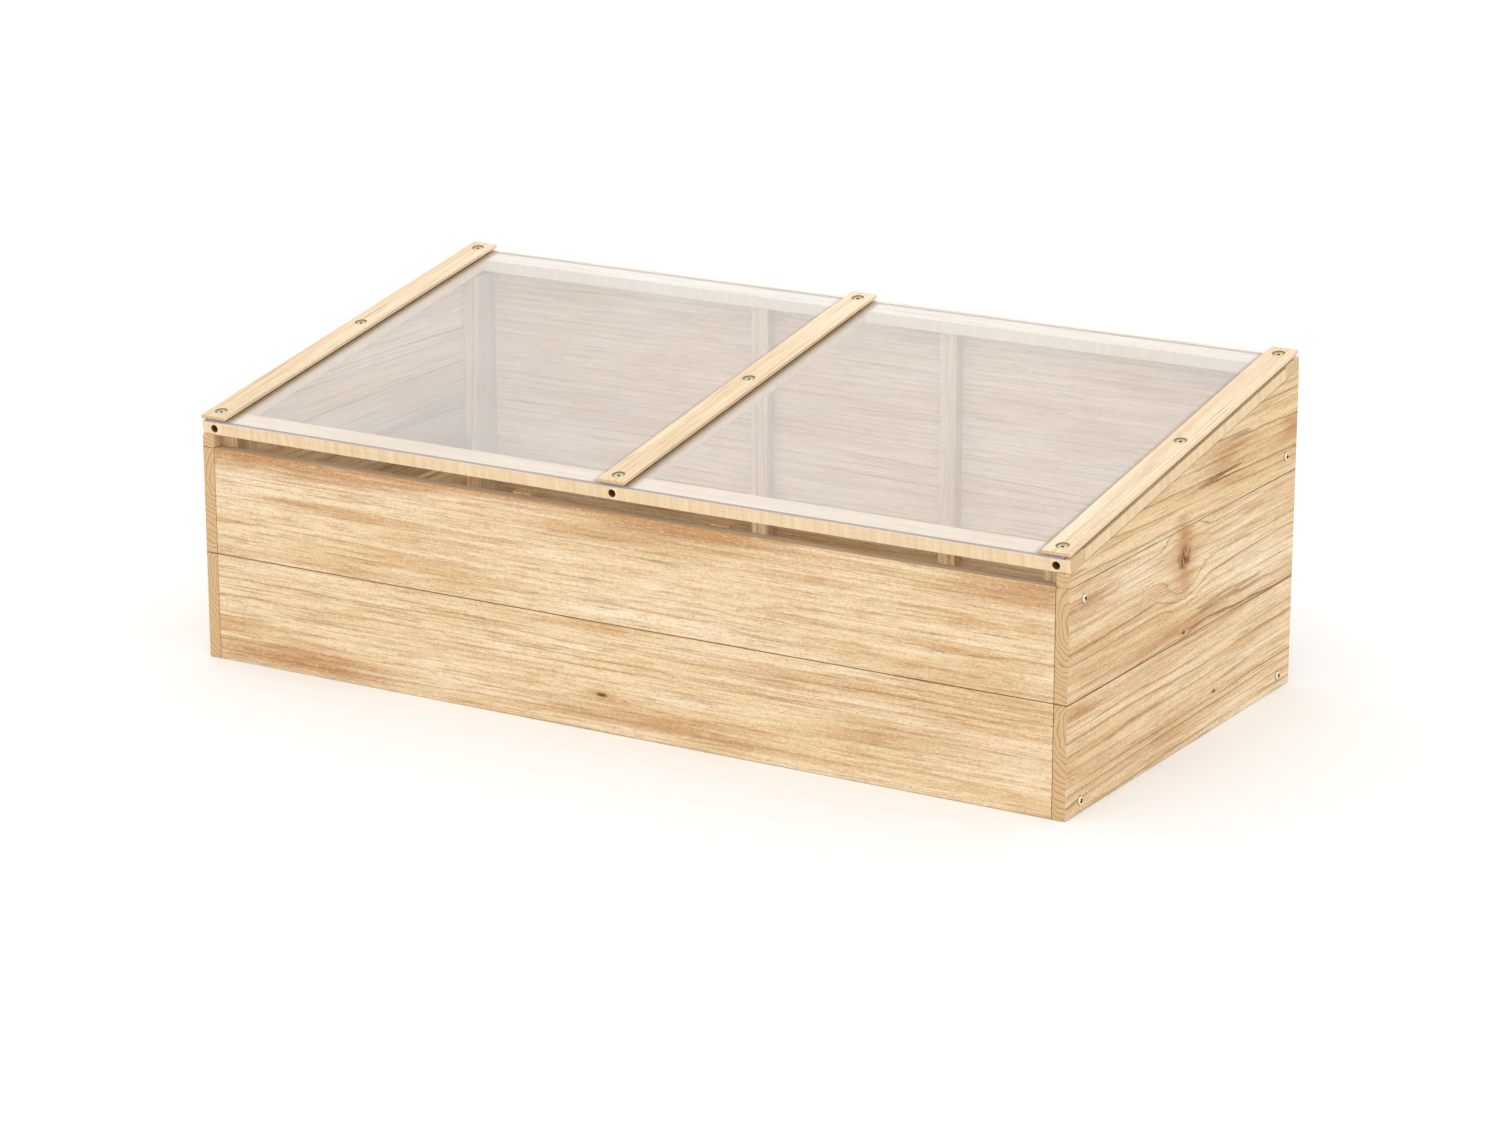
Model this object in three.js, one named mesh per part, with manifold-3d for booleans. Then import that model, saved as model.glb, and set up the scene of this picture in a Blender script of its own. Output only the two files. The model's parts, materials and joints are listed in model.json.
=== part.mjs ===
// Cold frame: a low timber box without a floor, closed by a sloping, glazed lid on two hinges.
// Millimetres. +X is to the right, +Y to the back and +Z up. The origin is on the ground,
// under the middle of the timber box.

import * as THREE from 'three';
import { mergeVertices } from 'three/addons/utils/BufferGeometryUtils.js';
import Module from 'manifold-3d';

const wasm = await Module();
wasm.setup();

// ---------- driving dimensions ----------

const WIDTH = 1000;
const DEPTH = 500; // of the side boards
const FRONT_HEIGHT = 260; // to the top of the lid's battens
const REAR_HEIGHT = 350;

const BOARD_THICKNESS = 14;
const BOARD_HEIGHT = 113;

const POST_WIDTH = 20; // along X
const POST_DEPTH = 34; // along Y
const CLEAT_WIDTH = 20;
const CLEAT_DEPTH = 14;
const CLEAT_OFFSET = 115; // from the middle, to each side
const FRONT_CLEAT_PROUD = 2; // above the front boards

const LID_LENGTH = 506; // along the slope
const RAIL_WIDTH = 30;
const RAIL_THICKNESS = 13.5;
const SHEET_THICKNESS = 2.5;
const SHEET_SIDE_INSET = 6;
const SHEET_REAR_INSET = 10;
const BATTEN_THICKNESS = 4;
const BATTEN_SCREW_PLACES = [15, 265, LID_LENGTH - 15]; // along the slope

const HINGE_OFFSET = 330; // from the middle, to each side
const HINGE_LENGTH = 60;
const LEAF_HEIGHT = 12; // from the pin's axis to the leaf's edge
const LEAF_THICKNESS = 1.5;
const KNUCKLE_RADIUS = 3;
const PIN_RADIUS = 1.5;
const MIDDLE_KNUCKLE_LENGTH = 24;

const TOUCH_GAP = 0.3; // between pieces that rest on each other or pass through each other
const ROUND_SIDES = 16; // facets on a screw or a pin

// Screws: radii, the depth of the head's top below the wood's surface, and the length under that top.
const BATTEN_SCREW = { seat: 'countersunk', head: 4.1, shank: 1.75, sunk: 1.2, length: 10, recess: 4.6 };
const SIDE_SCREW = { seat: 'surface', head: 4.3, shank: 2, sunk: -2, length: 35, recess: 4.8 };
const RAIL_SCREW = { seat: 'counterbored', head: 3.2, shank: 1.75, sunk: 10, length: 44, recess: 3.6 };
const HEAD_RIM = 0.3; // cylindrical edge of a countersunk head
const PAN_HEAD_HEIGHT = 2;
const TIP_LENGTH = 4;
const COUNTERBORE_RADIUS = 3.8;
const RECESS_SLOT = 1; // width of each arm of the cross recess
const RECESS_DEPTH = 1.4;

// Heights and places of the screws through each side, from the ground and from the middle.
const SIDE_SCREW_PLACES = [
  { name: 'front_low', y: -220, z: 12 },
  { name: 'front_high', y: -220, z: 210 },
  { name: 'rear_low', y: 222, z: 14 },
  { name: 'rear_high', y: 225, z: 244 },
];

// ---------- dimensions that follow ----------

const sheetSlot = SHEET_THICKNESS + 2 * TOUCH_GAP;
const battenBase = RAIL_THICKNESS + sheetSlot;
const lidThickness = battenBase + BATTEN_THICKNESS;
const slope = Math.asin((REAR_HEIGHT - FRONT_HEIGHT) / LID_LENGTH);

// The lid's own frame: X across, Y up the slope from its front edge, Z square to its underside.
const lidRearY = DEPTH / 2;
const lidRearZ = REAR_HEIGHT - lidThickness * Math.cos(slope);
const lidFrontY = lidRearY - LID_LENGTH * Math.cos(slope);
const lidFrontZ = lidRearZ - LID_LENGTH * Math.sin(slope);

const innerX = WIDTH / 2 - BOARD_THICKNESS;
const innerY = DEPTH / 2 - BOARD_THICKNESS;
const railCentre = WIDTH / 2 - RAIL_WIDTH / 2;

// The pin's axis stands off the rear board and off the lid's rear edge by the same amount.
const hingeStandOff = KNUCKLE_RADIUS + TOUCH_GAP;
const hingeDrop = hingeStandOff * Math.tan(slope / 2);

function timberTopAt(y) {
  return lidRearZ + (y - lidRearY) * Math.tan(slope) - TOUCH_GAP / Math.cos(slope);
}

// ---------- materials ----------

function material(color, roughness, metalness = 0) {
  return new THREE.MeshStandardMaterial({ color, roughness, metalness, flatShading: true });
}

const boardWood = material(0xd9b27c, 0.7);
const frameWood = material(0xcba878, 0.75);
const lidWood = material(0xe8cfa0, 0.65);
const battenWood = material(0xf0dcb4, 0.65);
const clearSheet = new THREE.MeshStandardMaterial({
  color: 0xe9e4df, roughness: 0.15, transparent: true, opacity: 0.5,
});
const yellowZinc = material(0xd8c88a, 0.35, 0.9);
const zinc = material(0xb9bcc0, 0.4, 0.9);

// ---------- solids ----------

function solidFrom(source) {
  const geometry = source.clone();
  geometry.deleteAttribute('normal');
  geometry.deleteAttribute('uv');
  const merged = mergeVertices(geometry, 1e-4);
  const triangles = [];
  for (let i = 0; i < merged.index.count; i += 3) {
    const [a, b, c] = [0, 1, 2].map((k) => merged.index.getX(i + k));
    if (a !== b && b !== c && c !== a) triangles.push(a, b, c);
  }
  return new wasm.Manifold(new wasm.Mesh({
    numProp: 3,
    vertProperties: new Float32Array(merged.attributes.position.array),
    triVerts: new Uint32Array(triangles),
  }));
}

function geometryFrom(solid) {
  const { vertProperties, triVerts } = solid.getMesh();
  const geometry = new THREE.BufferGeometry();
  geometry.setAttribute('position', new THREE.BufferAttribute(vertProperties, 3));
  geometry.setIndex(new THREE.BufferAttribute(triVerts, 1));
  return geometry;
}

function box([x0, x1], [y0, y1], [z0, z1]) {
  const geometry = new THREE.BoxGeometry(x1 - x0, y1 - y0, z1 - z0);
  return solidFrom(geometry.translate((x0 + x1) / 2, (y0 + y1) / 2, (z0 + z1) / 2));
}

// A board whose top edge follows the lid's slope.
function slopedBoard([x0, x1], [y0, y1], z0) {
  const outline = new THREE.Shape();
  outline.moveTo(y0, z0).lineTo(y1, z0).lineTo(y1, timberTopAt(y1)).lineTo(y0, timberTopAt(y0));
  const geometry = new THREE.ExtrudeGeometry(outline, { depth: x1 - x0, bevelEnabled: false });
  const alongX = new THREE.Matrix4().makeBasis(
    new THREE.Vector3(0, 1, 0), new THREE.Vector3(0, 0, 1), new THREE.Vector3(1, 0, 0),
  );
  return solidFrom(geometry.applyMatrix4(alongX).translate(x0, 0, 0));
}

// A solid of revolution about Z, from [radius, height] pairs that start and end on the axis.
function turned(profile) {
  const points = profile.map(([radius, height]) => new THREE.Vector2(radius, height));
  const aboutY = new THREE.LatheGeometry(points, ROUND_SIDES);
  return solidFrom(aboutY.rotateX(Math.PI / 2));
}

function cutAll(solid, cutters) {
  return cutters.reduce((rest, cutter) => rest.subtract(cutter), solid);
}

function addMesh(group, name, solid, look, placing = new THREE.Matrix4()) {
  const mesh = new THREE.Mesh(geometryFrom(solid), look);
  mesh.name = name;
  placing.decompose(mesh.position, mesh.quaternion, mesh.scale);
  group.add(mesh);
}

// ---------- screws ----------

// Every screw points down its own -Z, with Z = 0 at the wood's surface.
function screwSolid({ seat, head, shank, sunk, length, recess }) {
  const tip = sunk + length;
  const rim = sunk + HEAD_RIM;
  const panBase = sunk + PAN_HEAD_HEIGHT;
  const headProfile = seat === 'countersunk'
    ? [[shank, shank - head - rim], [head, -rim], [head, -sunk]]
    : [[shank, -panBase], [head, -panBase], [head, -sunk - PAN_HEAD_HEIGHT / 2], [0.75 * head, -sunk]];
  const profile = [[0, -tip], [shank, TIP_LENGTH - tip], ...headProfile, [0, -sunk]];
  const arm = [-recess / 2, recess / 2];
  const slot = [-RECESS_SLOT / 2, RECESS_SLOT / 2];
  const depth = [-sunk - RECESS_DEPTH, -sunk + 1];
  return cutAll(turned(profile), [box(arm, slot, depth), box(slot, arm, depth)]);
}

// The hole that a screw sits in, wider than the screw all round.
function screwHole({ seat, head, shank, sunk, length }) {
  const bore = shank + TOUCH_GAP;
  const end = -sunk - length - TOUCH_GAP;
  const above = 2; // so that the cut runs clear of the surface
  const mouth = head + sunk + HEAD_RIM + TOUCH_GAP * Math.SQRT2;
  const shoulder = -sunk - PAN_HEAD_HEIGHT - TOUCH_GAP;
  const walls = {
    surface: [[bore, above]],
    countersunk: [[bore, bore - mouth], [mouth + above, above]],
    counterbored: [[bore, shoulder], [COUNTERBORE_RADIUS, shoulder], [COUNTERBORE_RADIUS, above]],
  };
  return turned([[0, end], [bore, end], ...walls[seat], [0, above]]);
}

// A screw at a point on a surface, whose head faces along the outward direction.
function screw(name, kind, point, outward) {
  const turn = new THREE.Quaternion().setFromUnitVectors(new THREE.Vector3(0, 0, 1), outward);
  const placing = new THREE.Matrix4().compose(point, turn, new THREE.Vector3(1, 1, 1));
  return { name, kind, placing, hole: screwHole(kind).transform(placing.elements) };
}

function addScrews(group, screws) {
  for (const { name, kind, placing } of screws) {
    addMesh(group, name, screwSolid(kind), yellowZinc, placing);
  }
}

const holesOf = (screws) => screws.map(({ hole }) => hole);

// ---------- timber box ----------

function sideScrews(side, sign) {
  const outward = new THREE.Vector3(sign, 0, 0);
  return SIDE_SCREW_PLACES.map(({ name, y, z }) => {
    const point = new THREE.Vector3((sign * WIDTH) / 2, y, z);
    return screw(`side_screw_${side}_${name}`, SIDE_SCREW, point, outward);
  });
}

function addSide(group, side, sign, screws) {
  const across = sign < 0 ? [-WIDTH / 2, -innerX] : [innerX, WIDTH / 2];
  const along = [-DEPTH / 2, DEPTH / 2];
  const boards = {
    lower: box(across, along, [0, BOARD_HEIGHT]),
    middle: box(across, along, [BOARD_HEIGHT, 2 * BOARD_HEIGHT]),
    wedge: slopedBoard(across, along, 2 * BOARD_HEIGHT),
  };
  for (const [level, board] of Object.entries(boards)) {
    addMesh(group, `${side}_board_${level}`, cutAll(board, holesOf(screws)), boardWood);
  }
}

function addFront(group) {
  const across = [-innerX, innerX];
  const along = [-DEPTH / 2, -innerY];
  const levels = { lower: 0, upper: BOARD_HEIGHT };
  for (const [level, base] of Object.entries(levels)) {
    addMesh(group, `front_board_${level}`, box(across, along, [base, base + BOARD_HEIGHT]), boardWood);
  }
}

function addRear(group) {
  const across = [-innerX, innerX];
  const along = [innerY, DEPTH / 2];
  addMesh(group, 'rear_board_lower', box(across, along, [0, BOARD_HEIGHT]), boardWood);
  addMesh(group, 'rear_board_middle', box(across, along, [BOARD_HEIGHT, 2 * BOARD_HEIGHT]), boardWood);
  addMesh(group, 'rear_board_upper', slopedBoard(across, along, 2 * BOARD_HEIGHT), boardWood);
}

function addPost(group, end, side, sign, screws) {
  const across = sign < 0 ? [-innerX, POST_WIDTH - innerX] : [innerX - POST_WIDTH, innerX];
  const along = end === 'front' ? [-innerY, POST_DEPTH - innerY] : [innerY - POST_DEPTH, innerY];
  const post = box(across, along, [0, timberTopAt(along[0])]);
  addMesh(group, `post_${end}_${side}`, cutAll(post, holesOf(screws)), frameWood);
}

function addCleats(group) {
  for (const [side, sign] of [['left', -1], ['right', 1]]) {
    const centre = sign * CLEAT_OFFSET;
    const across = [centre - CLEAT_WIDTH / 2, centre + CLEAT_WIDTH / 2];
    const front = [-innerY, CLEAT_DEPTH - innerY];
    const rear = [innerY - CLEAT_DEPTH, innerY];
    const frontTop = 2 * BOARD_HEIGHT + FRONT_CLEAT_PROUD;
    addMesh(group, `cleat_front_${side}`, box(across, front, [0, frontTop]), frameWood);
    addMesh(group, `cleat_rear_${side}`, box(across, rear, [0, timberTopAt(rear[0])]), frameWood);
  }
}

function addBox(group) {
  for (const [side, sign] of [['left', -1], ['right', 1]]) {
    const screws = sideScrews(side, sign);
    addSide(group, side, sign, screws);
    addPost(group, 'front', side, sign, screws);
    addPost(group, 'rear', side, sign, screws);
    addScrews(group, screws);
  }
  addFront(group);
  addRear(group);
  addCleats(group);
}

// ---------- lid, in its own frame ----------

const COLUMNS = [['left', -railCentre], ['middle', 0], ['right', railCentre]];

function spanOf(centre) {
  return [centre - RAIL_WIDTH / 2, centre + RAIL_WIDTH / 2];
}

// Screws through the front and rear rails into the ends of the rails that run up the slope.
function railScrews() {
  return COLUMNS.flatMap(([column, x]) => {
    const front = new THREE.Vector3(x, 0, RAIL_THICKNESS / 2);
    const rear = new THREE.Vector3(x, LID_LENGTH, RAIL_THICKNESS / 2);
    return [
      screw(`rail_screw_front_${column}`, RAIL_SCREW, front, new THREE.Vector3(0, -1, 0)),
      screw(`rail_screw_rear_${column}`, RAIL_SCREW, rear, new THREE.Vector3(0, 1, 0)),
    ];
  });
}

// Screws through the battens and the sheet into the rails.
function battenScrews() {
  const up = new THREE.Vector3(0, 0, 1);
  return COLUMNS.flatMap(([column, x]) => ['front', 'centre', 'rear'].map((place, i) => {
    const point = new THREE.Vector3(x, BATTEN_SCREW_PLACES[i], lidThickness);
    return screw(`batten_screw_${column}_${place}`, BATTEN_SCREW, point, up);
  }));
}

function addLid(group) {
  const intoRails = railScrews();
  const throughBattens = battenScrews();
  const holes = holesOf([...intoRails, ...throughBattens]);
  const across = [-WIDTH / 2, WIDTH / 2];
  const flat = [0, RAIL_THICKNESS];
  const rearRailStart = LID_LENGTH - RAIL_WIDTH;

  addMesh(group, 'lid_rail_front', cutAll(box(across, [0, RAIL_WIDTH], flat), holes), lidWood);
  addMesh(group, 'lid_rail_rear', cutAll(box(across, [rearRailStart, LID_LENGTH], flat), holes), lidWood);
  for (const [column, x] of COLUMNS) {
    const rail = box(spanOf(x), [RAIL_WIDTH + TOUCH_GAP, rearRailStart - TOUCH_GAP], flat);
    addMesh(group, `lid_rail_${column}`, cutAll(rail, holes), lidWood);
  }

  const sheetEdge = WIDTH / 2 - SHEET_SIDE_INSET;
  const sheetBase = RAIL_THICKNESS + TOUCH_GAP;
  const sheet = box(
    [-sheetEdge, sheetEdge], [0, LID_LENGTH - SHEET_REAR_INSET], [sheetBase, sheetBase + SHEET_THICKNESS],
  );
  addMesh(group, 'lid_sheet', cutAll(sheet, holes), clearSheet);

  for (const [column, x] of COLUMNS) {
    const batten = box(spanOf(x), [0, LID_LENGTH], [battenBase, lidThickness]);
    addMesh(group, `batten_${column}`, cutAll(batten, holes), battenWood);
  }
  addScrews(group, [...intoRails, ...throughBattens]);
}

// ---------- hinges ----------

// A leaf about the pin's axis along X. It lies against the wood at Y = -KNUCKLE_RADIUS and
// reaches up or down from the axis.
function leafSolid(reach, ownKnuckles, otherKnuckles) {
  const half = HINGE_LENGTH / 2;
  const faces = [-KNUCKLE_RADIUS, LEAF_THICKNESS - KNUCKLE_RADIUS];
  const span = reach < 0 ? [reach, 0] : [0, reach];
  const clear = KNUCKLE_RADIUS + TOUCH_GAP;
  let leaf = box([-half, half], faces, span);
  for (const [x0, x1] of otherKnuckles) {
    leaf = leaf.subtract(box([x0 - TOUCH_GAP, x1 + TOUCH_GAP], [-clear, clear], [-clear, clear]));
  }
  for (const [x0, x1] of ownKnuckles) {
    leaf = leaf.add(rodAlongX(KNUCKLE_RADIUS, x0, x1));
  }
  leaf = leaf.subtract(rodAlongX(PIN_RADIUS + TOUCH_GAP, -half - 1, half + 1));
  return cutAll(leaf, leafScrewHoles(Math.sign(reach)));
}

function rodAlongX(radius, x0, x1) {
  const rod = new THREE.CylinderGeometry(radius, radius, x1 - x0, ROUND_SIDES);
  return solidFrom(rod.rotateZ(Math.PI / 2).translate((x0 + x1) / 2, 0, 0));
}

function leafScrewHoles(direction) {
  const hole = turned([[0, -3], [1.3, -3], [1.3, -1.2], [3.5, 1], [0, 1]]).rotate([-90, 0, 0]);
  const height = direction * LEAF_HEIGHT * 0.63;
  const face = LEAF_THICKNESS - KNUCKLE_RADIUS;
  return [-0.37, 0.37].map((share) => hole.translate([share * HINGE_LENGTH, face, height]));
}

function pinSolid() {
  const half = HINGE_LENGTH / 2 + TOUCH_GAP;
  const cap = 1.2;
  const capRadius = PIN_RADIUS + 1;
  const profile = [
    [0, -half - cap], [PIN_RADIUS, -half - cap], [capRadius, -half - cap / 2], [capRadius, -half],
    [PIN_RADIUS, -half], [PIN_RADIUS, half], [capRadius, half], [capRadius, half + cap / 2],
    [PIN_RADIUS, half + cap], [0, half + cap],
  ];
  return turned(profile).rotate([0, 90, 0]);
}

function addHinges(boxGroup, lidGroup) {
  const middle = MIDDLE_KNUCKLE_LENGTH / 2;
  const half = HINGE_LENGTH / 2;
  const middleKnuckles = [[TOUCH_GAP - middle, middle - TOUCH_GAP]];
  const outerKnuckles = [[-half, -middle], [middle, half]];
  for (const [side, x] of [['left', -HINGE_OFFSET], ['right', HINGE_OFFSET]]) {
    const onBox = new THREE.Matrix4().makeTranslation(x, lidRearY + hingeStandOff, lidRearZ + hingeDrop);
    const onLid = new THREE.Matrix4().makeTranslation(x, LID_LENGTH + hingeStandOff, -hingeDrop);
    const fixed = leafSolid(-LEAF_HEIGHT, outerKnuckles, middleKnuckles);
    const moving = leafSolid(LEAF_HEIGHT, middleKnuckles, outerKnuckles);
    addMesh(boxGroup, `hinge_${side}_fixed_leaf`, fixed, zinc, onBox);
    addMesh(boxGroup, `hinge_${side}_pin`, pinSolid(), zinc, onBox);
    addMesh(lidGroup, `hinge_${side}_moving_leaf`, moving, zinc, onLid);
  }
}

// ---------- assembly ----------

const coldFrame = new THREE.Group();
const timberBox = new THREE.Group();
const lid = new THREE.Group();
lid.position.set(0, lidFrontY, lidFrontZ);
lid.rotation.x = slope;
addBox(timberBox);
addLid(lid);
addHinges(timberBox, lid);
coldFrame.add(timberBox, lid);

export default coldFrame;
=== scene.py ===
# Looks for the cold frame: detailed timber, sheet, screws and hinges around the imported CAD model.
# Metres, +X right, +Y back, +Z up, origin on the ground under the middle of the timber box.

import itertools
import json
import math
import random

import bmesh
import bpy
from mathutils import Matrix, Vector

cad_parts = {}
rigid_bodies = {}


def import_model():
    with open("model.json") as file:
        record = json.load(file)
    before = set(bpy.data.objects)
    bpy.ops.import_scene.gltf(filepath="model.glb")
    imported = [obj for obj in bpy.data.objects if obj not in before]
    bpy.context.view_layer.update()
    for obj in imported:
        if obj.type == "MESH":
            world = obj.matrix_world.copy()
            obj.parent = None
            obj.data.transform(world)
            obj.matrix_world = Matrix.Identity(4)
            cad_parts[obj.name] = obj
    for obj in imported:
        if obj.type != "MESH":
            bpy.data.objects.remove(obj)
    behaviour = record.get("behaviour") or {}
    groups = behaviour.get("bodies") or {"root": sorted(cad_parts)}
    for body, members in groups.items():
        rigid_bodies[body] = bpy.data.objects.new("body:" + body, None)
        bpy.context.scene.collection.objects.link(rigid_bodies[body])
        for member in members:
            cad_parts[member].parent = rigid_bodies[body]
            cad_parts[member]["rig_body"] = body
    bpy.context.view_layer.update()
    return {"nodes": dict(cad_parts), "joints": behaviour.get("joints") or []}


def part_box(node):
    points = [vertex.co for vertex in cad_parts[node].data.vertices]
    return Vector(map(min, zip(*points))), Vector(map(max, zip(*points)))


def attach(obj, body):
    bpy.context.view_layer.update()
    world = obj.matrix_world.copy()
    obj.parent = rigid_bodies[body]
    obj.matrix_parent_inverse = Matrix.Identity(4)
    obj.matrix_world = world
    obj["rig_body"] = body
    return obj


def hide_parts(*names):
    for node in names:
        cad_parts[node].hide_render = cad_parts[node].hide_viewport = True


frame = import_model()
nodes = frame["nodes"]

MM = 0.001
GROUND = Matrix.Identity(4)
ROUND = 48  # facets on turned pieces and holes
EDGE_EASE = 0.45 * MM
BATTEN_EASE = 0.5 * MM
SHEET_EASE = 0.25 * MM
random.seed(11)


# ---------- CAD measures ----------

def vertices_in(node, place):
    inverse = place.inverted()
    return [inverse @ v.co for v in nodes[node].data.vertices]


def box_in(node, place):
    points = vertices_in(node, place)
    return (Vector(min(p[i] for p in points) for i in range(3)),
            Vector(max(p[i] for p in points) for i in range(3)))


def middle_in(node, place):
    low, high = box_in(node, place)
    return (low + high) / 2


def lid_place():
    """The lid's own frame: X across, Y up the slope from its front edge, Z square to its underside."""
    rail = vertices_in("lid_rail_left", GROUND)
    low, far = min(rail, key=lambda p: p.z), max(rail, key=lambda p: p.y)
    slope = math.atan2(far.z - low.z, far.y - low.y)
    corner = min(vertices_in("lid_rail_front", GROUND), key=lambda p: p.z)
    return Matrix.Translation((0, corner.y, corner.z)) @ Matrix.Rotation(slope, 4, "X")


LID = lid_place()


def body_of(node):
    return nodes[node]["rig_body"]


# ---------- node trees ----------

def srgb(r, g, b):
    def linear(c):
        c /= 255
        return c / 12.92 if c <= 0.04045 else ((c + 0.055) / 1.055) ** 2.4
    return (linear(r), linear(g), linear(b), 1)


class Tree:
    """A new material, with short calls for its nodes."""

    def __init__(self, name):
        self.material = bpy.data.materials.new(name)
        self.material.use_nodes = True
        self.tree = self.material.node_tree
        self.tree.nodes.clear()

    def new(self, kind, **settings):
        node = self.tree.nodes.new(kind)
        for name, value in settings.items():
            setattr(node, name, value)
        return node

    def feed(self, value, socket):
        if isinstance(value, bpy.types.NodeSocket):
            self.tree.links.new(value, socket)
        else:
            socket.default_value = value

    def math(self, operation, *values, clamp=False):
        node = self.new("ShaderNodeMath", operation=operation, use_clamp=clamp)
        for socket, value in zip(node.inputs, values):
            self.feed(value, socket)
        return node.outputs[0]

    def plus(self, a, b):
        return self.math("ADD", a, b)

    def minus(self, a, b):
        return self.math("SUBTRACT", a, b)

    def times(self, a, b):
        return self.math("MULTIPLY", a, b)

    def larger(self, a, b):
        return self.math("MAXIMUM", a, b)

    def absolute(self, a):
        return self.math("ABSOLUTE", a)

    def vector(self, operation, *values):
        node = self.new("ShaderNodeVectorMath", operation=operation)
        for socket, value in zip(node.inputs, values):
            self.feed(value, socket)
        return node.outputs["Value" if operation in ("LENGTH", "DOT_PRODUCT") else "Vector"]

    def parts_of(self, vector):
        node = self.new("ShaderNodeSeparateXYZ")
        self.feed(vector, node.inputs[0])
        return node.outputs

    def mix(self, factor, a, b):
        node = self.new("ShaderNodeMix", data_type="RGBA")
        for socket, value in ((0, factor), (6, a), (7, b)):
            self.feed(value, node.inputs[socket])
        return node.outputs[2]

    def paint(self, colour, where, strength, tint):
        return self.mix(self.times(where, strength), colour, tint)

    def noise(self, vector, detail=2.0, roughness=0.5, colour=False):
        node = self.new("ShaderNodeTexNoise")
        self.feed(vector, node.inputs["Vector"])
        node.inputs["Scale"].default_value = 1.0
        node.inputs["Detail"].default_value = detail
        node.inputs["Roughness"].default_value = roughness
        return node.outputs["Color" if colour else "Fac"]

    def waves(self, vector, x, y, z, *shape, **kind):
        """Noise with about this many waves a metre along each axis."""
        return self.noise(self.vector("MULTIPLY", vector, (x, y, z)), *shape, **kind)

    def span(self, value, low, high, to_low=0.0, to_high=1.0, smooth=True):
        node = self.new("ShaderNodeMapRange", interpolation_type="SMOOTHSTEP" if smooth else "LINEAR")
        for socket, given in zip(node.inputs, (value, low, high, to_low, to_high)):
            self.feed(given, socket)
        return node.outputs[0]

    def ramp(self, value, *stops):
        node = self.new("ShaderNodeValToRGB")
        elements = node.color_ramp.elements
        while len(elements) < len(stops):
            elements.new(0.5)
        for element, (place, level) in zip(elements, stops):
            element.position = place
            element.color = (level, level, level, 1)
        self.feed(value, node.inputs[0])
        return node.outputs[0]

    def bump(self, height, strength, distance):
        node = self.new("ShaderNodeBump")
        node.inputs["Strength"].default_value = strength
        node.inputs["Distance"].default_value = distance
        self.feed(height, node.inputs["Height"])
        return node.outputs[0]

    def blend(self, share, first, second):
        """A mixed shader, with this share of the second one."""
        node = self.new("ShaderNodeMixShader")
        for socket, value in zip(node.inputs, (share, first, second)):
            self.feed(value, socket)
        return node.outputs[0]

    def surface(self, shader):
        out = self.new("ShaderNodeOutputMaterial")
        self.feed(shader, out.inputs["Surface"])
        return self.material

    def principled(self, **inputs):
        node = self.new("ShaderNodeBsdfPrincipled")
        for name, value in inputs.items():
            self.feed(value, node.inputs[name.replace("_", " ")])
        return node.outputs[0]


# ---------- wood ----------

BOARD = dict(
    pale=srgb(240, 213, 172), cream=srgb(252, 235, 203), tan=srgb(211, 168, 114), red=srgb(196, 144, 95),
    dark=srgb(158, 112, 68), line=srgb(146, 94, 48), end=srgb(218, 183, 138))
WEDGE_BOARD = dict(BOARD, pale=srgb(234, 204, 157), cream=srgb(248, 227, 188))
POST = dict(
    pale=srgb(236, 208, 168), cream=srgb(250, 231, 198), tan=srgb(214, 180, 136), red=srgb(210, 166, 120),
    dark=srgb(168, 126, 84), line=srgb(150, 108, 70), end=srgb(214, 180, 138))
LID_WOOD = dict(
    pale=srgb(244, 222, 190), cream=srgb(248, 228, 192), tan=srgb(222, 190, 146), red=srgb(224, 186, 142),
    dark=srgb(186, 146, 100), line=srgb(180, 138, 94), end=srgb(222, 190, 146))
SIDE_RAIL_WOOD = dict(LID_WOOD, pale=srgb(238, 211, 174), cream=srgb(246, 224, 188))
# Painted light: a paler copy of the lid's wood, for the white sheen of the sheet over the rear rail.
REAR_RAIL_LIT_WOOD = dict(LID_WOOD, pale=srgb(253, 243, 226), cream=srgb(255, 250, 238), tan=srgb(242, 222, 194))
BATTEN_WOOD = dict(
    pale=srgb(241, 219, 186), cream=srgb(250, 235, 208), tan=srgb(229, 200, 162), red=srgb(235, 202, 168),
    dark=srgb(184, 144, 104), line=srgb(176, 132, 92), end=srgb(222, 190, 146))

SEAM = srgb(50, 32, 20)
# Painted shade: the dark of the box's inside faces low down, and of the posts' and cleats' side faces.
PAINTED_SHADE = srgb(104, 82, 56)
# Painted shade: a thin dark ring round each countersink's mouth.
RIM_SHADE = srgb(98, 82, 50)
KNOT = srgb(178, 126, 84)
KNOT_HEART = srgb(104, 62, 44)
# Painted shade on the upper face of the front board, under the lid's overhang.
TOP_SHADE = srgb(150, 133, 112)

# ring is a year's width and wander how far the grain strays, in mm. The others are strengths: of the year
# lines, the reddish bands, the fine mottle, the short flecks and the bars across the narrow faces.
PANEL_GRAIN = dict(ring=6, wander=20, line=0.8, band=0.35, mottle=0.32, fleck=0.3, bars=0)
FRONT_GRAIN = dict(PANEL_GRAIN, line=0.5, band=0.2)
SIDE_GRAIN = dict(PANEL_GRAIN, ring=11, wander=26, line=1, fleck=0.12)
LEFT_GRAIN = dict(SIDE_GRAIN, ring=10, wander=20)
POST_GRAIN = dict(PANEL_GRAIN, ring=3.6)
LID_GRAIN = dict(PANEL_GRAIN, ring=3.4, wander=8, line=0.5, mottle=0.15, fleck=0.08, bars=0.8)
BATTEN_GRAIN = dict(LID_GRAIN, ring=3.2, wander=7, mottle=0.12, bars=0.5)

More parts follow.
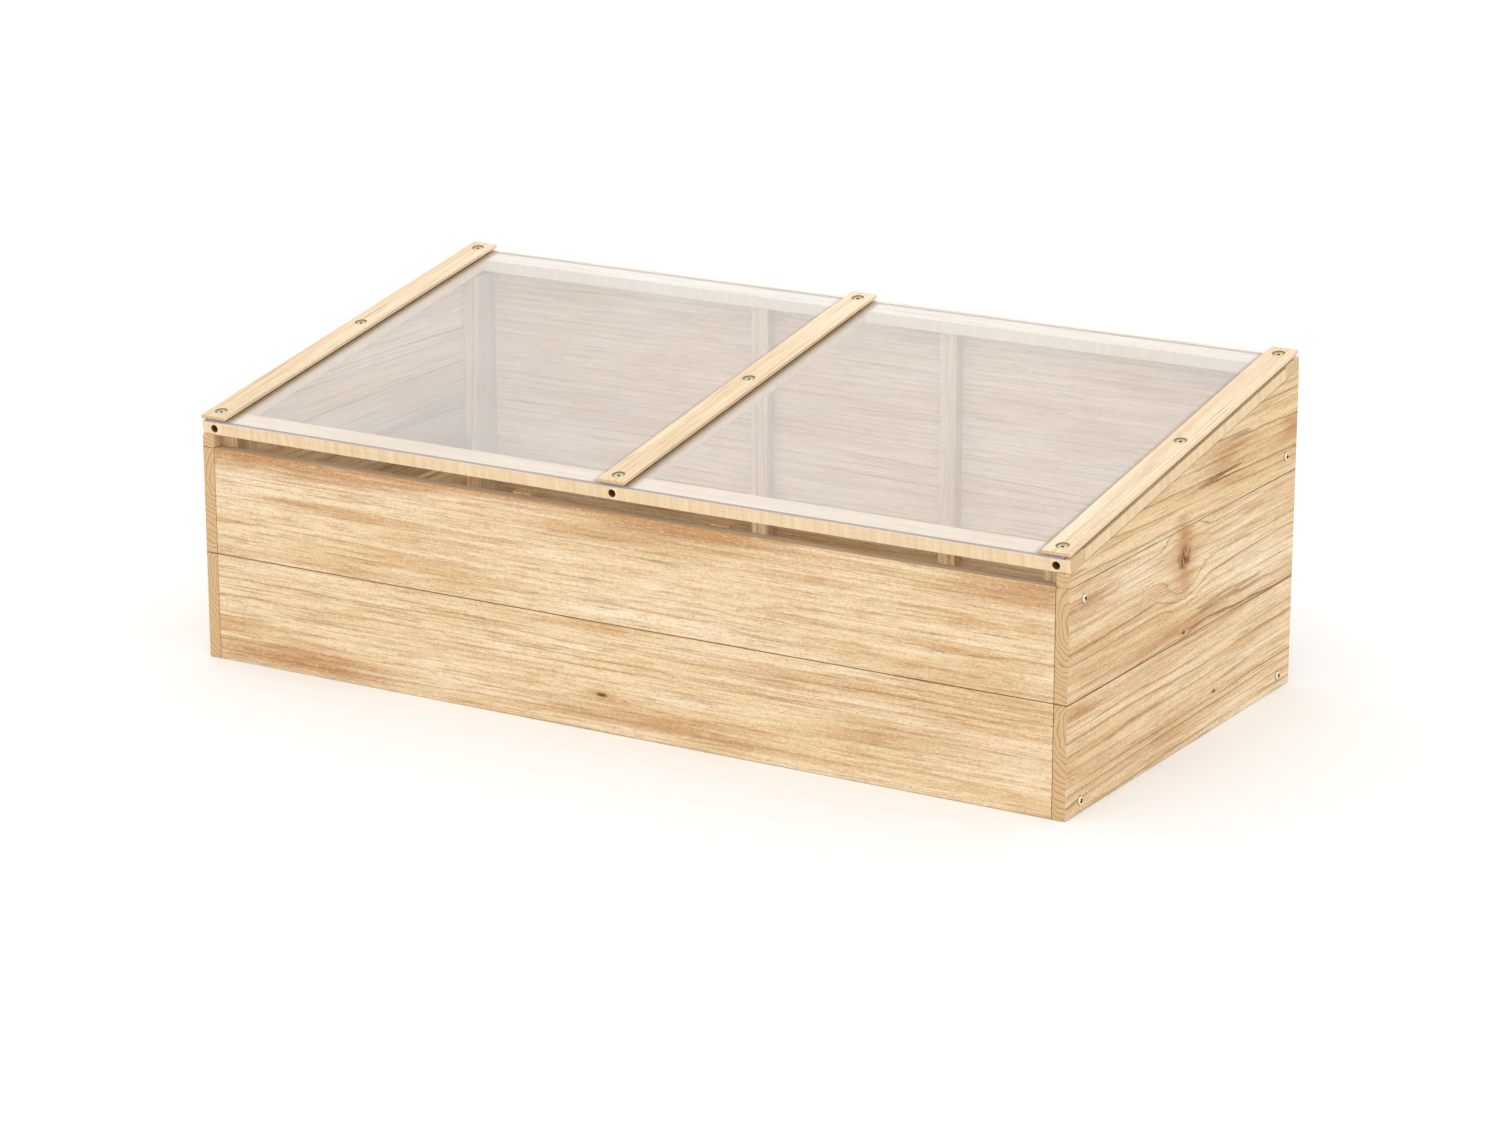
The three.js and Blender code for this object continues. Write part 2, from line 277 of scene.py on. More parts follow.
# In mm: the end grain's centre (y, z) and the width of its rings, and the radius of the painted ring of shade
# round a countersink.
END_PITH = (-34, 34)
END_RING = 5
RIM_SHADE_RADIUS = 6.3

# How dark a year is from its start to its end, on the long faces and on the end grain.
LATE_WOOD = (0, 0.0), (0.66, 0.03), (0.85, 0.3), (0.92, 1.0), (0.96, 1.0), (1.0, 0.0)
END_LATE_WOOD = (0, 0.0), (0.6, 0.0), (0.82, 0.25), (0.92, 1.0), (1.0, 0.0)


class Timber(Tree):
    """The nodes of one piece of wood, with its grain along X and its faces square to Y or Z."""

    def __init__(self, name, tone, grain, pith, seed):
        super().__init__(name)
        self.tone, self.grain, self.pith, self.seed = tone, grain, pith, seed
        place = self.new("ShaderNodeTexCoord")
        self.at = place.outputs["Object"]
        self.own = self.vector("ADD", self.at, (seed * 1.7, seed * 0.9, seed * 2.3))
        self.spot = self.parts_of(self.at)
        self.facing = self.parts_of(place.outputs["Normal"])
        self.end = self.span(self.absolute(self.facing[0]), 0.6, 0.85)

        self.fibre = self.along(11, 400, 4, 0.7)
        self.dashes = self.along(42, 330, 3, 0.65)
        self.streaks = self.along(4.5, 130, 5, 0.65)
        self.patches = self.along(3.2, 24, 3, 0.55)
        self.bands = self.along(1.6, 20, 2)
        self.specks = self.along(330, 620, 3, 0.7)
        self.pores = self.span(self.along(90, 1500, 1), 0.64, 0.74)
        self.uneven = self.times(self.along(0.5, 34, 2), 4.0)
        slow = self.strayed(2.0, 9, 1.5, grain["wander"])
        quick = self.strayed(14, 60, 2, grain["wander"] * 0.12)
        straight = self.vector("MULTIPLY", self.at, (0, 1, 1))
        self.across = self.vector("ADD", straight, self.vector("ADD", slow, quick))

    def along(self, x, across, *shape, **kind):
        """Noise with x waves a metre along the grain."""
        return self.waves(self.own, x, across, across, *shape, **kind)

    def strayed(self, x, across, detail, amount):
        """An offset across the grain, from noise."""
        centred = self.vector("SUBTRACT", self.along(x, across, detail, colour=True), (0.5, 0.5, 0.5))
        return self.vector("MULTIPLY", centred, (0, amount * MM, amount * MM))

    def distance_from(self, x, z, wide, tall):
        """How far from (x, z), with 1 on an ellipse of these half sizes."""
        away = self.vector("SUBTRACT", self.at, (x * MM, 0, z * MM))
        return self.vector("LENGTH", self.vector("MULTIPLY", away, (1 / (wide * MM), 0, 1 / (tall * MM))))

    def radius_about(self, y, z):
        """How far across the grain from (y, z), in metres."""
        return self.vector("LENGTH", self.vector("SUBTRACT", self.across, (0, y * MM, z * MM)))

    def painted(self, colour, *rows):
        """Paints the colour by rows of (layer, level to start at, level of full paint, strength, tone)."""
        for layer, start, full, strength, tone in rows:
            colour = self.paint(colour, self.span(layer, start, full), strength, self.tone[tone])
        return colour

    def bend_round(self, knots):
        """Bends the grain round each knot. Gives (where, strength, colour) of halos, cores and hearts."""
        core, halo, heart = 0.0, 0.0, 0.0
        for x, z, wide, tall, darkness in knots:
            ragged = self.times(self.along(170, 170, 2), 0.7)
            far = self.plus(self.distance_from(x, z, wide, tall), self.minus(ragged, 0.35))
            pull = self.new("ShaderNodeVectorMath", operation="SCALE")
            above = self.vector("MULTIPLY", self.vector("SUBTRACT", self.at, (0, 0, z * MM)), (0, 0, 1))
            self.feed(above, pull.inputs[0])
            self.feed(self.span(far, 0.2, 4.2, 0.85, 0.0), pull.inputs["Scale"])
            self.across = self.vector("SUBTRACT", self.across, pull.outputs[0])
            rings = self.plus(self.times(self.math("SINE", self.times(far, 15.0)), 0.2), 0.75)
            core = self.larger(core, self.times(self.span(far, 0.6, 1.2, 1.0, 0.0), rings))
            halo = self.larger(halo, self.span(far, 0.8, 2.8, 1.0, 0.0))
            clots = self.span(self.along(230, 150, 3, 0.6), 0.62 - 0.4 * darkness, 0.74 - 0.4 * darkness)
            heart = self.larger(heart, self.times(self.span(far, 0.35, 0.95, 1.0, 0.0), clots))
        return ((halo, 0.4, self.tone["red"]), (core, 0.75, KNOT), (heart, 0.9, KNOT_HEART)) if knots else ()

    def year_lines(self):
        rings = self.math("DIVIDE", self.radius_about(*self.pith), self.grain["ring"] * MM)
        year = self.plus(rings, self.uneven)
        late = self.ramp(self.math("FRACT", year), *LATE_WOOD)
        which = self.new("ShaderNodeTexWhiteNoise", noise_dimensions="1D")
        self.feed(self.plus(self.math("FLOOR", year), self.seed * 13.7), which.inputs["W"])
        strength = self.span(which.outputs[0], 0.0, 0.9, 0.25, 1.0, smooth=False)
        fade = self.span(self.along(6, 40, 2), 0.3, 0.6, 0.5, 1.0)
        return self.times(self.times(late, strength), fade)

    def long_grain(self, lines, stains):
        band, fleck, mottle = self.grain["band"], self.grain["fleck"], self.grain["mottle"]
        colour = self.painted(
            self.tone["pale"], (self.patches, 0.5, 0.68, 0.6, "cream"), (self.patches, 0.5, 0.34, 0.6, "tan"),
            (self.streaks, 0.5, 0.64, 0.5, "cream"), (self.streaks, 0.5, 0.36, 0.5, "tan"),
            (self.bands, 0.5, 0.72, band, "red"))
        flat = self.span(self.absolute(self.facing[1]), 0.4, 0.7)
        for x, z, wide, tall, much in stains:
            ragged = self.plus(self.times(self.streaks, 2.6), self.times(self.dashes, 1.8))
            far = self.plus(self.distance_from(x, z, wide, tall), self.minus(ragged, 2.2))
            colour = self.mix(self.times(self.span(far, 1.4, 0.0, 0.0, much), flat), colour, self.tone["red"])
        colour = self.paint(colour, lines, self.grain["line"], self.tone["line"])
        colour = self.painted(
            colour, (self.fibre, 0.5, 0.68, 0.5, "dark"),
            (self.dashes, 0.53, 0.7, fleck, "dark"), (self.dashes, 0.46, 0.3, fleck, "cream"),
            (self.specks, 0.45, 0.75, mottle, "dark"), (self.specks, 0.5, 0.25, mottle, "cream"))
        return self.paint(colour, self.pores, 0.3, self.tone["dark"])

    def barred_edges(self, colour):
        bars = self.along(150, 9, 3, 0.6)
        edge = self.times(self.span(self.absolute(self.facing[2]), 0.7, 0.4), self.grain["bars"])
        barred = self.mix(self.span(bars, 0.3, 0.7, 0.25, 0.85), self.tone["cream"], self.tone["tan"])
        return self.mix(edge, colour, barred)

    def end_grain(self):
        rings = self.math("DIVIDE", self.radius_about(*END_PITH), END_RING * MM)
        year = self.math("FRACT", self.plus(rings, self.uneven))
        colour = self.paint(self.tone["end"], self.ramp(year, *END_LATE_WOOD), 0.8, self.tone["line"])
        return self.painted(colour, (self.along(300, 900, 3), 0.45, 0.7, 0.25, "dark"))

    # Paints a thin ring of shade round a countersink's mouth, on upward faces.
    def shaded_rim(self, colour, x):
        away = self.vector("MULTIPLY", self.vector("SUBTRACT", self.at, (x, 0, 0)), (1, 1, 0))
        off_rim = self.absolute(self.minus(self.vector("LENGTH", away), RIM_SHADE_RADIUS * MM))
        rim = self.span(off_rim, 0.6 * MM, 0.25 * MM)
        rim = self.times(rim, self.span(self.facing[2], 0.3, 0.7))
        return self.paint(colour, rim, 0.75, RIM_SHADE)


def wood(name, tone, grain, pith, seed, knots=(), stains=(), seams=(), ends=0, inside=0, damp=0.0,
         grey_top=0.0, shaded_sides=0.0, rim_shades=()):
    """Wood with its grain along X and its faces square to Y or Z, in mm unless it says otherwise.

    tone          its colours, and grain the widths and strengths of its patterns
    pith          (y, z) of the tree's centre
    knots         (x, z, half length, half height, darkness) each
    stains        (x, z, half length, half height, strength) each
    seams         (height, strength, whether the end grain has it too) of each dark joint line along the grain
    ends          half length at which the end joints darken
    inside        sign of Y on the face towards the box's inside
    damp          how much that face darkens towards the ground, as painted shade
    grey_top      how much the upper face greys, as painted shade
    shaded_sides  how much the faces square to Z darken, as painted shade
    burns         places along X, in metres, of countersunk screws with a painted ring of shade round the rim
    """
    t = Timber(name, tone, grain, pith, seed)
    knot_paints = t.bend_round(knots)
    lines = t.year_lines()
    colour = t.long_grain(lines, stains)
    for where, strength, tint in knot_paints:
        colour = t.paint(colour, where, strength, tint)
    if grain["bars"]:
        colour = t.barred_edges(colour)
    colour = t.mix(t.end, colour, t.end_grain())

    upward = t.facing[2]
    level = t.absolute(upward)
    inner = t.span(t.times(t.facing[1], inside), 0.4, 0.8)
    # Painted shade on the upper face.
    if grey_top:
        colour = t.paint(colour, t.span(upward, 0.4, 0.8), grey_top, TOP_SHADE)
    # Painted shade on the inside face, darker towards the ground.
    if damp:
        low = t.span(t.plus(t.spot[2], t.times(t.patches, 30 * MM)), 76 * MM, -30 * MM, 0.2, damp)
        colour = t.paint(colour, inner, low, PAINTED_SHADE)
    # Painted shade on the side faces square to Z.
    if shaded_sides:
        colour = t.paint(colour, t.span(level, 0.5, 0.8), shaded_sides, PAINTED_SHADE)
    # Painted shade round each countersink's mouth.
    for x in rim_shades:
        colour = t.shaded_rim(colour, x)
    upright = t.minus(t.span(level, 0.97, 0.8), t.times(inner, 0.6))
    for height, dark, on_end in seams:
        gap = t.absolute(t.minus(t.spot[2], height * MM))
        where = t.math("SUBTRACT", upright, t.times(t.end, 0.0 if on_end else 1.0), clamp=True)
        colour = t.mix(t.times(t.times(t.span(gap, 0.75 * MM, 0.3 * MM), dark), where), colour, SEAM)
    if ends:
        gap = t.absolute(t.minus(t.absolute(t.spot[0]), ends * MM))
        colour = t.mix(t.span(gap, 0.8 * MM, 0.3 * MM, 0.0, 0.75), colour, SEAM)

    roughness = t.plus(t.times(t.fibre, 0.2), t.minus(0.58, t.times(lines, 0.12)))
    height = t.plus(t.times(t.fibre, 0.8), t.minus(t.times(lines, 0.6), t.times(t.pores, 0.6)))
    normal = t.bump(height, 0.4, 0.3 * MM)
    return t.surface(t.principled(
        Base_Color=colour, Roughness=roughness, Normal=normal, Specular_IOR_Level=0.16))


# ---------- sheet and metals ----------

def sheet_material(battens, half, thick):
    """Clear plastic: a light haze, a mirrored sky that grows towards grazing, a bluish front edge, side edges
    painted dark as shade, and painted shade beside each batten.

    battens are the places along X of the strips that press on it, half is their half width, and thick the
    sheet's thickness, in metres. Light on its way to a lamp, or bounced off a dull surface, passes almost
    unchanged.
    """
    t = Tree("clear_sheet")
    place = t.new("ShaderNodeTexCoord")
    at = place.outputs["Object"]
    facing = t.parts_of(place.outputs["Normal"])
    spot = t.parts_of(at)
    dust = t.waves(at, 7, 7, 7, 4)
    marks = t.waves(at, 60, 240, 60, 2)
    side = t.span(t.absolute(facing[0]), 0.4, 0.8)
    front = t.span(facing[1], -0.4, -0.8)
    top = t.span(facing[2], 0.4, 0.8)

    core = t.span(t.absolute(t.minus(spot[2], thick * 0.5)), 0.3 * thick, 0.15 * thick)
    # Painted shade on the upper face beside each batten, fading out 12 mm from its edge.
    batten_shade = 0.0
    for x in battens:
        beyond = t.minus(t.absolute(t.minus(spot[0], x)), half)
        batten_shade = t.larger(batten_shade, t.span(beyond, 12 * MM, 4 * MM))
    batten_shade = t.times(batten_shade, top)
    colour = t.mix(t.span(dust, 0.3, 0.7), srgb(246, 245, 243), srgb(252, 251, 249))
    colour = t.mix(front, colour, srgb(158, 152, 170))
    # The side edges are painted dark, near black at mid thickness, as the shade of the slots they sit in.
    colour = t.mix(side, colour, t.mix(core, srgb(176, 148, 112), srgb(46, 42, 40)))
    colour = t.mix(batten_shade, colour, srgb(134, 108, 72))
    faces = t.larger(t.span(dust, 0.25, 0.75, 0.18, 0.22), t.times(batten_shade, 0.6))
    alpha = t.larger(t.larger(faces, t.times(front, 0.75)), t.times(side, 0.97))
    haze = t.principled(Base_Color=colour, Alpha=alpha, Roughness=t.span(marks, 0.2, 0.8, 0.08, 0.16))

    mirror = t.new("ShaderNodeBsdfGlossy")
    mirror.inputs["Roughness"].default_value = 0.06
    slant = t.new("ShaderNodeLayerWeight")
    slant.inputs["Blend"].default_value = 0.5
    outer = t.minus(1.0, t.new("ShaderNodeNewGeometry").outputs["Backfacing"])
    share = t.times(t.math("MULTIPLY_ADD", t.math("POWER", slant.outputs["Facing"], 3.0), 0.9, 0.04), outer)
    share = t.times(share, t.minus(1.0, t.larger(side, front)))

    clear = t.new("ShaderNodeBsdfTransparent")
    clear.inputs["Color"].default_value = (0.97, 0.97, 0.97, 1)
    rays = t.new("ShaderNodeLightPath").outputs
    passing = t.larger(rays["Is Shadow Ray"], rays["Is Diffuse Ray"])
    return t.surface(t.blend(passing, t.blend(share, haze, mirror.outputs[0]), clear.outputs[0]))


def metal(name, bright, worn, rough):
    t = Tree(name)
    at = t.new("ShaderNodeTexCoord").outputs["Object"]
    patches = t.waves(at, 420, 420, 420, 3)
    grit = t.waves(at, 2600, 2600, 2600, 2)
    return t.surface(t.principled(
        Base_Color=t.mix(t.span(patches, 0.35, 0.7), bright, worn), Metallic=1.0,
        Roughness=t.span(patches, 0.2, 0.8, rough, rough + 0.18), Normal=t.bump(grit, 0.2, 0.05 * MM)))


def hollow(name, light, dark):
    """The walls of recesses and drilled holes."""
    t = Tree(name)
    rings = t.waves(t.new("ShaderNodeTexCoord").outputs["Object"], 900, 900, 900, 3)
    return t.surface(t.principled(
        Base_Color=t.mix(rings, light, dark), Roughness=0.85, Specular_IOR_Level=0.2))


YELLOW_ZINC = metal("yellow_zinc", srgb(248, 246, 218), srgb(238, 230, 184), 0.34)
ZINC = metal("zinc", srgb(206, 209, 214), srgb(170, 174, 180), 0.3)
# Near black: painted shade in the screws' cross recesses.
RECESS_SHADE = hollow("recess", srgb(26, 24, 18), srgb(12, 11, 8))
# Dark brown: darker cut wood, with painted shade, on the walls of drilled holes.
SHADED_BORE = hollow("bored_wood_shade", srgb(136, 104, 68), srgb(88, 64, 40))
SUNK = hollow("countersunk_wood", srgb(208, 188, 140), srgb(184, 160, 112))


# ---------- meshes ----------

def new_object(name, mesh, place=GROUND):
    thing = bpy.data.objects.new(name, mesh)
    bpy.context.scene.collection.objects.link(thing)
    thing.matrix_world = place
    return thing


def mesh_from(bm, name):
    mesh = bpy.data.meshes.new(name)
    bmesh.ops.recalc_face_normals(bm, faces=bm.faces)
    bm.to_mesh(mesh)
    bm.free()
    return mesh


def turned(profile, name="turned"):
    """A closed solid of revolution about Z, from (radius, height) pairs in mm that start and end on Z."""
    bm = bmesh.new()
    rings = []
    for radius, height in profile:
        if radius == 0:
            rings.append([bm.verts.new((0, 0, height * MM))])
            continue
        turns = [2 * math.pi * i / ROUND for i in range(ROUND)]
        rings.append([bm.verts.new((radius * math.cos(a) * MM, radius * math.sin(a) * MM, height * MM))
                      for a in turns])
    for low, high in zip(rings, rings[1:]):
        for i in range(ROUND):
            j = (i + 1) % ROUND
            corners = [low[i % len(low)], low[j % len(low)], high[j % len(high)], high[i % len(high)]]
            bm.faces.new(list(dict.fromkeys(corners)))
    return mesh_from(bm, name)


def add_box(bm, low, high):
    bmesh.ops.create_cube(bm, size=1, matrix=Matrix.LocRotScale((low + high) / 2, None, high - low))


def ease_edges(bm, edges, ease, segments):
    bmesh.ops.bevel(bm, geom=edges, offset=ease, segments=segments, profile=0.5, affect="EDGES")


def joined(parts):
    """One mesh from (mesh, matrix) pairs."""
    bm = bmesh.new()
    for mesh, place in parts:
        copy = mesh.copy()
        copy.transform(place)
        bm.from_mesh(copy)
        bpy.data.meshes.remove(copy)
    mesh = bpy.data.meshes.new("joined")
    bm.to_mesh(mesh)
    bm.free()
    return mesh


def boolean(thing, tool_mesh, operation="DIFFERENCE", looks=()):
    """Cuts or adds a world-space mesh, and leaves no modifier behind. The cut's walls take on looks."""
    tool = new_object("tool", tool_mesh)
    modifier = thing.modifiers.new("cut", "BOOLEAN")
    modifier.operation, modifier.solver, modifier.object = operation, "EXACT", tool
    for look in looks:
        tool_mesh.materials.append(look)
        modifier.material_mode = "TRANSFER"
    bpy.context.view_layer.update()
    graph = bpy.context.evaluated_depsgraph_get()
    done = bpy.data.meshes.new_from_object(thing.evaluated_get(graph))
    thing.modifiers.clear()
    thing.data = done
    bpy.data.objects.remove(tool)


def finished(thing, sharp=32):
    """Smooth shading, with the edges sharper than this many degrees kept."""
    thing.data.shade_smooth()
    thing.data.set_sharp_from_angle(angle=math.radians(sharp))
    thing.modifiers.new("flat_faces", "WEIGHTED_NORMAL").keep_sharp = True


def placed(thing, node):
    """The piece stands for a CAD node and moves with that node's body."""
    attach(thing, body_of(node))
    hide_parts(node)


# ---------- screws ----------

THREAD_PITCH = 1.6


def cross_recess(width, depth, arm):
    """A tapered cross with arms this wide at its mouth, which is at Z = 0."""
    arms = []
    for turn in (0, math.pi / 2):
        bm = bmesh.new()
        bmesh.ops.create_cube(bm, size=1)
        for v in bm.verts:
            top = v.co.z > 0
            v.co.x = math.copysign(width / 2 if top else width * 0.2, v.co.x) * MM
            v.co.y = math.copysign(arm / 2 if top else arm * 0.3, v.co.y) * MM
            v.co.z = (0.9 if top else -depth) * MM
        arms.append((mesh_from(bm, "arm"), Matrix.Rotation(turn, 4, "Z")))
    return arms


def screw_mesh(name, profile, top, recess, depth, arm=1.4, plating=YELLOW_ZINC):
    """A screw that points down -Z, with Z = 0 at the wood's surface and a cross recess from height top."""
    thing = new_object(name, turned(profile, name))
    thing.data.materials.append(plating)
    for cutter, turn in cross_recess(recess, depth, arm):
        boolean(thing, joined([(cutter, Matrix.Translation((0, 0, top * MM)) @ turn)]), looks=[RECESS_SHADE])
    finished(thing, sharp=40)
    mesh = thing.data
    bpy.data.objects.remove(thing)
    return mesh


def threaded(shank, start, end, tip):
    """Profile pairs from the screw's tip up to its plain shank: a run of thread crests."""
    root, crest, flat = shank * 0.66, shank * 0.97, 0.1
    pairs = [(0, end), (shank * 0.45, end + tip)]
    height = end + tip
    while height + THREAD_PITCH < start:
        pairs += [(root, height + flat), (crest, height + THREAD_PITCH * 0.5),
                  (root, height + THREAD_PITCH - flat)]
        height += THREAD_PITCH
    return pairs + [(root, start), (shank, start + 0.4)]


SCREWS = {
    "batten": screw_mesh("batten_screw", threaded(1.75, -5.2, -11.2, 3) + [
        (1.75, -3.85), (3.95, -1.62), (4.1, -1.46), (4.1, -1.34), (4.0, -1.24), (3.8, -1.2), (0, -1.2)],
        top=-1.2, recess=5.6, depth=2.1, arm=1.7),
    "side": screw_mesh("side_screw", threaded(2, -12, -33, 4) + [
        (2, 0.02), (4.2, 0.02), (4.3, 0.12), (4.3, 0.55), (4.2, 0.9), (3.92, 1.25), (3.4, 1.56), (2.6, 1.8),
        (1.5, 1.95), (0, 2)], top=2, recess=7.2, depth=2.6, arm=2.2),
    "rail": screw_mesh("rail_screw", threaded(1.75, -22, -54, 4) + [
        (1.75, -12), (3.1, -12), (3.2, -11.9), (3.2, -11.1), (3.0, -10.6), (2.4, -10.2), (1.4, -10.04),
        (0, -10)], top=-10, recess=3.8, depth=1.7),
}

# The holes, a little wider than the screws all round, with a softened mouth.
HOLES = {
    "batten": turned([(0, -11.5), (2.05, -11.5), (2.05, -3.97), (5.45, -0.57), (5.8, -0.5), (5.95, 0.1),
                      (6.05, 0.2), (6.05, 2), (0, 2)]),
    "side": turned([(0, -33.3), (2.3, -33.3), (2.3, -1.2), (4.75, -0.1), (4.95, 0.1), (4.95, 2), (0, 2)]),
    "rail": turned([(0, -54.3), (2.05, -54.3), (2.05, -12.3), (3.8, -12.3), (3.8, -0.4), (4.2, 0), (4.2, 2),
                    (0, 2)]),
}
CONE_RADIUS, CONE_DEPTH = 5.5 * MM, 4 * MM

# The countersink takes on the second of the walls' materials, and the rest of the hole the first.
for face in HOLES["batten"].polygons:
    if math.hypot(face.center.x, face.center.y) < CONE_RADIUS and face.center.z > -CONE_DEPTH:
        face.material_index = 1


def screw_place(node, kind):
    """The screw's matrix, with Z out of the wood and the origin on the surface."""
    if kind == "side":
        middle = middle_in(node, GROUND)
        sign = 1 if "right" in node else -1
        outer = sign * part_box("right_board_middle")[1].x
        return Matrix.Translation((outer, middle.y, middle.z)) @ Matrix.Rotation(sign * math.pi / 2, 4, "Y")
    middle = middle_in(node, LID)
    if kind == "batten":
        top = box_in("batten_left", LID)[1].z
        return LID @ Matrix.Translation((middle.x, middle.y, top))
    front = "front" in node
    edge = box_in("lid_rail_front", LID)[0].y if front else box_in("lid_rail_rear", LID)[1].y
    turn = Matrix.Rotation(math.pi / 2 if front else -math.pi / 2, 4, "X")
    return LID @ Matrix.Translation((middle.x, edge, middle.z)) @ turn


PLACES = []  # (kind, matrix) of each screw that has a CAD node

for node in sorted(nodes):
    kind = node.split("_screw_")[0]
    if kind in SCREWS:
        place = screw_place(node, kind)
        PLACES.append((kind, place))
        spin = Matrix.Rotation(random.uniform(0, math.pi / 2), 4, "Z")
        piece = new_object(f"{node}_metal", SCREWS[kind], place @ spin)
        placed(piece, node)


# ---------- timber ----------

ALONG = {
    "X": Matrix.Identity(4),
    "Y": Matrix(((0, -1, 0, 0), (1, 0, 0, 0), (0, 0, 1, 0), (0, 0, 0, 1))),
    "Z": Matrix(((0, 0, -1, 0), (0, 1, 0, 0), (1, 0, 0, 0), (0, 0, 0, 1))),
}
PILOT_REACH = Vector((0, 0, -6 * MM))  # a point well inside a hinge screw's pilot hole
hinge_pilots = []


def cutters_through(low, high, place):
    """The hole cutters that reach into a box given in the frame place."""
    found = []
    inverse = place.inverted()
    for kind, at in PLACES:
        points = [inverse @ at @ v.co for v in HOLES[kind].vertices]
        if all(min(p[i] for p in points) < high[i] and max(p[i] for p in points) > low[i] for i in range(3)):
            found.append((HOLES[kind], at))
    for at in hinge_pilots:
        tip = inverse @ at @ PILOT_REACH
        if all(low[i] < tip[i] < high[i] for i in range(3)):
            found.append((LEAF_PILOT, at))
    return found


def timber(node, along, look, place=GROUND, ease=EDGE_EASE):
    """A board in place of a CAD node, with its slopes, soft edges and screw holes, and its grain along X, Y
    or Z of the frame place."""
    points = vertices_in(node, place)
    low, high = box_in(node, place)
    middle = (low + high) / 2
    bm = bmesh.new()
    add_box(bm, low, high)
    for v in bm.verts:
        if v.co.z > middle.z:
            v.co.z = max(p.z for p in points if abs(p.y - v.co.y) < 0.05 * MM)
    ease_edges(bm, bm.edges[:], ease, 3)
    piece = new_object(f"{node}_wood", mesh_from(bm, node), place)
    piece.data.materials.append(look)
    cutters = cutters_through(low, high, place)
    if cutters:
        boolean(piece, joined(cutters), looks=[SHADED_BORE, SUNK])
    home = place @ Matrix.Translation(middle) @ ALONG[along]
    piece.data.transform(home.inverted() @ place)
    piece.matrix_world = home
    finished(piece)
    placed(piece, node)


# ---------- hinges ----------

# In mm from the pin's axis, with X along it, Y away from the wood and Z towards the moving leaf's free edge.
LEAF_HEIGHT = 12
LEAF_THICKNESS = 1.5
LEAF_FACE = -1.5  # the outer face's Y
LEAF_CORNER = 2.2
LEAF_SCREW_X, LEAF_SCREW_Z = 22.2, 7.56
KNUCKLE_RADIUS = 3
KNUCKLE_GAP = 0.3
MIDDLE_KNUCKLE = 12  # half its length, with the gap
PIN_RADIUS = 1.5
PIN_BORE = 1.8
PIN_HEAD = 2.5
PIN_HEAD_THICKNESS = 1.2

axis = Vector(frame["joints"][0]["pos_m"])
LEAF_SCREW = screw_mesh("leaf_screw", threaded(1.25, -6, -11, 2.5) + [
    (1.25, -2.3), (3.1, -0.35), (3.2, -0.2), (3.15, -0.05), (2.9, 0), (0, 0)],
    top=0, recess=3.4, depth=1.4, plating=ZINC)
LEAF_PILOT = turned([(0, -11.3), (1.4, -11.3), (1.4, 2), (0, 2)])
LEAF_HOLE = turned([(0, -4), (1.7, -4), (1.7, -1.6), (3.5, 0.2), (3.5, 2), (0, 2)])


def rod(radius, x0, x1):
    """A rod along X with softened ends, in mm."""
    length, soft = x1 - x0, 0.15
    mesh = turned([(0, 0), (radius - soft, 0), (radius, soft),
                   (radius, length - soft), (radius - soft, length), (0, length)])
    mesh.transform(Matrix.Translation((x0 * MM, 0, 0)) @ Matrix.Rotation(math.pi / 2, 4, "Y"))
    return mesh


def leaf(node, turn, own, other, reach, half):
    """A hinge leaf with its screws. own and other are the two leaves' knuckles, as spans along X, and reach
    is the height of its free edge."""
    bottom, top = sorted((reach, 0.0))
    bm = bmesh.new()
    add_box(bm, Vector((-half, LEAF_FACE - LEAF_THICKNESS, bottom)) * MM, Vector((half, LEAF_FACE, top)) * MM)
    outer = [e for e in bm.edges if abs(e.verts[0].co.y - e.verts[1].co.y) > 0.5 * MM
             and abs(abs(e.verts[0].co.z) - abs(reach) * MM) < 0.1 * MM]
    ease_edges(bm, outer, LEAF_CORNER * MM, 6)
    piece = new_object(f"{node}_metal", mesh_from(bm, node))
    piece.data.materials.append(ZINC)
    room = KNUCKLE_RADIUS + KNUCKLE_GAP
    for x0, x1 in other:
        corners = Vector((x0 - KNUCKLE_GAP, -room, -room)), Vector((x1 + KNUCKLE_GAP, room, room))
        gap = bmesh.new()
        add_box(gap, corners[0] * MM, corners[1] * MM)
        boolean(piece, mesh_from(gap, "gap"))
    for x0, x1 in own:
        boolean(piece, rod(KNUCKLE_RADIUS, x0, x1), "UNION")
    boolean(piece, rod(PIN_BORE, -half - 1, half + 1))
    away = math.copysign(LEAF_SCREW_Z, reach)
    places = [Matrix.Translation(Vector((x, LEAF_FACE, away)) * MM) @ Matrix.Rotation(-math.pi / 2, 4, "X")
              for x in (-LEAF_SCREW_X, LEAF_SCREW_X)]
    boolean(piece, joined([(LEAF_HOLE, at) for at in places]))
    piece.matrix_world = turn
    finished(piece, sharp=35)
    placed(piece, node)
    for i, at in enumerate(places):
        spin = Matrix.Rotation(random.uniform(0, math.pi / 2), 4, "Z")
        screw = new_object(f"{node}_screw_{i + 1}", LEAF_SCREW, turn @ at @ spin)
        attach(screw, body_of(node))
        hinge_pilots.append(turn @ at)


